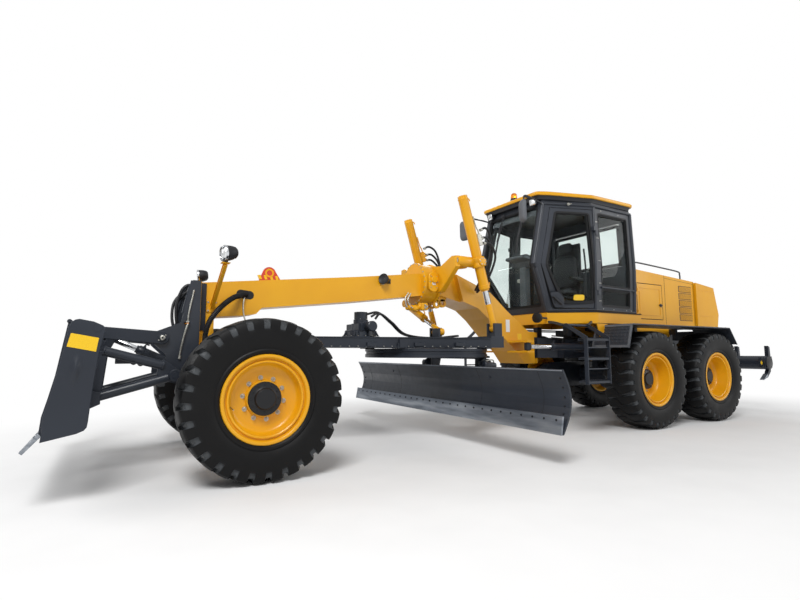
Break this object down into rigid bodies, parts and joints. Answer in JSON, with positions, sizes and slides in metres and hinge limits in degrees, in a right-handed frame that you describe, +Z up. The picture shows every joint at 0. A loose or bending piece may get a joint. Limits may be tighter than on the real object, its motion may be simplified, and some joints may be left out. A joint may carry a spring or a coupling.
{
  "type": "motor grader",
  "caption": "Articulated motor grader with tandem rear wheels, cab, circle-mounted moldboard, front dozer blade and rear ripper.",
  "frame": {"origin": "on the ground, in the middle of the machine's length and width", "axes": "+X forward, +Y to the machine's left, +Z up"},
  "size_m": [10.756, 4.3, 3.42],
  "materials": {
    "yellow_paint": "gloss machine enamel",
    "slate_paint": "satin enamel",
    "chrome_rod": "hard chrome",
    "bare_steel": "worn rolled steel",
    "tyre_rubber": "matt rubber",
    "glass": "tinted glass",
    "black_vinyl": "vinyl",
    "black_plastic": "moulded"
  },
  "bodies": {
    "rear_frame": {"rear_frame": "yellow_paint", "tandem_axle": "yellow_paint", "engine": "slate_paint", "engine_hood": "yellow_paint", "radiator_cowl": "yellow_paint", "cab_platform": "yellow_paint", "cab_shell": "slate_paint", "cab_roof": "yellow_paint", "windscreen": "glass", "operator_seat": "black_vinyl", "steering_console": "black_plastic", "fender_left": "slate_paint", "fender_right": "slate_paint"},
    "front_frame": {"front_frame": "yellow_paint", "lift_saddle": "yellow_paint", "front_axle": "slate_paint"},
    "steering_knuckle_left": {"steering_knuckle_left": "slate_paint"},
    "front_left_wheel": {"front_left_tyre": "tyre_rubber", "front_left_rim": "yellow_paint"},
    "middle_left_wheel": {"middle_left_tyre": "tyre_rubber", "middle_left_rim": "yellow_paint"},
    "rear_left_wheel": {"rear_left_tyre": "tyre_rubber", "rear_left_rim": "yellow_paint"},
    "articulation_barrel_left": {"articulation_barrel_left": "yellow_paint"},
    "articulation_rod_left": {"articulation_rod_left": "chrome_rod"},
    "lift_barrel_left": {"lift_barrel_left": "yellow_paint"},
    "lift_rod_left": {"lift_rod_left": "chrome_rod"},
    "cab_door_left": {"cab_door_left": "slate_paint", "door_glass_left": "glass"},
    "hood_door_left": {"hood_door_left": "yellow_paint"},
    "steering_knuckle_right": {"steering_knuckle_right": "slate_paint"},
    "front_right_wheel": {"front_right_tyre": "tyre_rubber", "front_right_rim": "yellow_paint"},
    "middle_right_wheel": {"middle_right_tyre": "tyre_rubber", "middle_right_rim": "yellow_paint"},
    "rear_right_wheel": {"rear_right_tyre": "tyre_rubber", "rear_right_rim": "yellow_paint"},
    "articulation_barrel_right": {"articulation_barrel_right": "yellow_paint"},
    "articulation_rod_right": {"articulation_rod_right": "chrome_rod"},
    "lift_barrel_right": {"lift_barrel_right": "yellow_paint"},
    "lift_rod_right": {"lift_rod_right": "chrome_rod"},
    "cab_door_right": {"cab_door_right": "slate_paint", "door_glass_right": "glass"},
    "hood_door_right": {"hood_door_right": "yellow_paint"},
    "tie_rod": {"tie_rod": "bare_steel"},
    "drawbar": {"drawbar": "slate_paint"},
    "circle": {"circle": "slate_paint"},
    "blade_bracket": {"blade_bracket": "slate_paint"},
    "shift_barrel": {"shift_barrel": "yellow_paint"},
    "shift_rod": {"shift_rod": "chrome_rod"},
    "push_arms": {"push_arms": "slate_paint"},
    "upper_links": {"upper_links": "slate_paint"},
    "dozer_blade": {"dozer_blade": "slate_paint"},
    "dozer_barrel": {"dozer_barrel": "slate_paint"},
    "dozer_rod": {"dozer_rod": "chrome_rod"},
    "ripper": {"ripper": "slate_paint"},
    "ripper_barrel": {"ripper_barrel": "yellow_paint"},
    "ripper_rod": {"ripper_rod": "chrome_rod"},
    "moldboard": {"moldboard": "slate_paint", "cutting_edge": "bare_steel"}
  },
  "joints": [
    {"name": "articulation", "type": "hinge", "parent": "rear_frame", "child": "front_frame", "pos_m": [-0.425, 0, 1.108], "axis": [0, 0, 1], "range_deg": [-27, 27]},
    {"name": "articulation_barrel_left_turn", "type": "hinge", "parent": "rear_frame", "child": "articulation_barrel_left", "pos_m": [-1.125, 0.48, 1.12], "axis": [0, 0, 1], "range_deg": [-11.4, 11.4]},
    {"name": "articulation_rod_left_slide", "type": "slide", "parent": "articulation_barrel_left", "child": "articulation_rod_left", "axis": [1, 0, 0], "range_m": [-0.22931, 0.22931]},
    {"name": "articulation_barrel_right_turn", "type": "hinge", "parent": "rear_frame", "child": "articulation_barrel_right", "pos_m": [-1.125, -0.48, 1.12], "axis": [0, 0, 1], "range_deg": [-11.4, 11.4]},
    {"name": "articulation_rod_right_slide", "type": "slide", "parent": "articulation_barrel_right", "child": "articulation_rod_right", "axis": [1, 0, 0], "range_m": [-0.22931, 0.22931]},
    {"name": "steering", "type": "hinge", "parent": "front_frame", "child": "steering_knuckle_left", "pos_m": [3.775, 0.8, 0.66922], "axis": [0, 0, 1], "range_deg": [-50, 50]},
    {"name": "steering_right", "type": "hinge", "parent": "front_frame", "child": "steering_knuckle_right", "pos_m": [3.775, -0.8, 0.66922], "axis": [0, 0, 1], "range_deg": [-50, 50]},
    {"name": "tie_rod_turn", "type": "hinge", "parent": "steering_knuckle_left", "child": "tie_rod", "pos_m": [3.565, 0.8, 0.6], "axis": [0, 0, 1], "range_deg": [-50, 50]},
    {"name": "front_left_wheel_spin", "type": "hinge", "parent": "steering_knuckle_left", "child": "front_left_wheel", "pos_m": [3.775, 1.09, 0.66922], "axis": [0, 1, 0], "continuous": true},
    {"name": "middle_left_wheel_spin", "type": "hinge", "parent": "rear_frame", "child": "middle_left_wheel", "pos_m": [-1.6065, 1.052, 0.66922], "axis": [0, 1, 0], "continuous": true},
    {"name": "rear_left_wheel_spin", "type": "hinge", "parent": "rear_frame", "child": "rear_left_wheel", "pos_m": [-3.1635, 1.052, 0.66922], "axis": [0, 1, 0], "continuous": true},
    {"name": "front_right_wheel_spin", "type": "hinge", "parent": "steering_knuckle_right", "child": "front_right_wheel", "pos_m": [3.775, -1.09, 0.66922], "axis": [0, 1, 0], "continuous": true},
    {"name": "middle_right_wheel_spin", "type": "hinge", "parent": "rear_frame", "child": "middle_right_wheel", "pos_m": [-1.6065, -1.052, 0.66922], "axis": [0, 1, 0], "continuous": true},
    {"name": "rear_right_wheel_spin", "type": "hinge", "parent": "rear_frame", "child": "rear_right_wheel", "pos_m": [-3.1635, -1.052, 0.66922], "axis": [0, 1, 0], "continuous": true},
    {"name": "blade_lift", "type": "hinge", "parent": "front_frame", "child": "drawbar", "pos_m": [3.955, 0, 1.04], "axis": [0, 1, 0], "range_deg": [-17, 3]},
    {"name": "lift_barrel_left_swing", "type": "hinge", "parent": "front_frame", "child": "lift_barrel_left", "pos_m": [1.03, 0.64, 2.15], "axis": [0, -1, 0], "range_deg": [-1.88, 10.64]},
    {"name": "lift_rod_left_slide", "type": "slide", "parent": "lift_barrel_left", "child": "lift_rod_left", "axis": [-0.2786, 0, -0.9604], "range_m": [-0.16504, 0.93525]},
    {"name": "lift_barrel_right_swing", "type": "hinge", "parent": "front_frame", "child": "lift_barrel_right", "pos_m": [1.03, -0.64, 2.15], "axis": [0, -1, 0], "range_deg": [-1.88, 10.64]},
    {"name": "lift_rod_right_slide", "type": "slide", "parent": "lift_barrel_right", "child": "lift_rod_right", "axis": [-0.2786, 0, -0.9604], "range_m": [-0.16504, 0.93525]},
    {"name": "shift_barrel_swing", "type": "hinge", "parent": "front_frame", "child": "shift_barrel", "pos_m": [1.475, -0.36, 1.7], "axis": [1, 0, 0], "range_deg": [-31.58, 5.57]},
    {"name": "shift_rod_slide", "type": "slide", "parent": "shift_barrel", "child": "shift_rod", "axis": [0, 0.8922, -0.4516], "range_m": [-0.08365, 0.474]},
    {"name": "circle_turn", "type": "hinge", "parent": "drawbar", "child": "circle", "pos_m": [1.395, 0, 1.09], "axis": [0, 0, -1], "range_deg": [-35, 35]},
    {"name": "blade_tip", "type": "hinge", "parent": "circle", "child": "blade_bracket", "pos_m": [1.115, 0, 0.5], "axis": [0, 1, 0], "range_deg": [-22, 20]},
    {"name": "blade_side_shift", "type": "slide", "parent": "blade_bracket", "child": "moldboard", "axis": [0, 1, 0], "range_m": [-0.55, 0.55]},
    {"name": "dozer_lift", "type": "hinge", "parent": "front_frame", "child": "push_arms", "pos_m": [4.375, 0, 0.84], "axis": [0, -1, 0], "range_deg": [-28, 14]},
    {"name": "dozer_blade_turn", "type": "hinge", "parent": "push_arms", "child": "dozer_blade", "pos_m": [4.995, 0, 0.67], "axis": [0, -1, 0], "range_deg": [-9.07, 18.15]},
    {"name": "upper_links_turn", "type": "hinge", "parent": "front_frame", "child": "upper_links", "pos_m": [4.491, 0, 1.182], "axis": [0, -1, 0], "range_deg": [-35.05, 17.52]},
    {"name": "dozer_barrel_swing", "type": "hinge", "parent": "front_frame", "child": "dozer_barrel", "pos_m": [4.335, 0, 0.92], "axis": [0, -1, 0], "range_deg": [-27.86, 13.93]},
    {"name": "dozer_rod_slide", "type": "slide", "parent": "dozer_barrel", "child": "dozer_rod", "axis": [0.9053, 0, 0.4247], "range_m": [-0.02174, 0.04348]},
    {"name": "ripper_lift", "type": "hinge", "parent": "rear_frame", "child": "ripper", "pos_m": [-4.515, 0, 0.94], "axis": [0, 1, 0], "range_deg": [-40, 8]},
    {"name": "ripper_barrel_swing", "type": "hinge", "parent": "rear_frame", "child": "ripper_barrel", "pos_m": [-4.515, 0, 1.33], "axis": [0, -1, 0], "range_deg": [-5.92, 29.62]},
    {"name": "ripper_rod_slide", "type": "slide", "parent": "ripper_barrel", "child": "ripper_rod", "axis": [-0.9214, 0, -0.3887], "range_m": [-0.04576, 0.22881]},
    {"name": "cab_door_left_swing", "type": "hinge", "parent": "rear_frame", "child": "cab_door_left", "pos_m": [-0.925, 0.857, 2.3], "axis": [0, 0, 1], "range_deg": [0, 90]},
    {"name": "hood_door_left_swing", "type": "hinge", "parent": "rear_frame", "child": "hood_door_left", "pos_m": [-2.125, 0.65, 1.84], "axis": [0, 0, -1], "range_deg": [0, 95]},
    {"name": "cab_door_right_swing", "type": "hinge", "parent": "rear_frame", "child": "cab_door_right", "pos_m": [-0.925, -0.857, 2.3], "axis": [0, 0, -1], "range_deg": [0, 90]},
    {"name": "hood_door_right_swing", "type": "hinge", "parent": "rear_frame", "child": "hood_door_right", "pos_m": [-2.125, -0.65, 1.84], "axis": [0, 0, 1], "range_deg": [0, 95]}
  ],
  "couplings": [
    {"joint": "articulation_barrel_left_turn", "follows": "articulation", "ratio": 0.41383},
    {"joint": "articulation_rod_left_slide", "follows": "articulation", "m_per_rad": -0.47708},
    {"joint": "articulation_barrel_right_turn", "follows": "articulation", "ratio": 0.41383},
    {"joint": "articulation_rod_right_slide", "follows": "articulation", "m_per_rad": 0.47708},
    {"joint": "steering_right", "follows": "steering", "ratio": 1},
    {"joint": "tie_rod_turn", "follows": "steering", "ratio": -1},
    {"joint": "lift_barrel_left_swing", "follows": "blade_lift", "ratio": -0.61355},
    {"joint": "lift_rod_left_slide", "follows": "blade_lift", "m_per_rad": -3.0903},
    {"joint": "lift_barrel_right_swing", "follows": "blade_lift", "ratio": -0.61355},
    {"joint": "lift_rod_right_slide", "follows": "blade_lift", "m_per_rad": -3.0903},
    {"joint": "shift_barrel_swing", "follows": "blade_lift", "ratio": 1.8211},
    {"joint": "shift_rod_slide", "follows": "blade_lift", "m_per_rad": -1.5662},
    {"joint": "dozer_blade_turn", "follows": "dozer_lift", "ratio": -0.63541},
    {"joint": "upper_links_turn", "follows": "dozer_lift", "ratio": 1.2271},
    {"joint": "dozer_barrel_swing", "follows": "dozer_lift", "ratio": 0.97564},
    {"joint": "dozer_rod_slide", "follows": "dozer_lift", "m_per_rad": -0.087221},
    {"joint": "ripper_barrel_swing", "follows": "ripper_lift", "ratio": -0.72603},
    {"joint": "ripper_rod_slide", "follows": "ripper_lift", "m_per_rad": -0.32131}
  ]
}
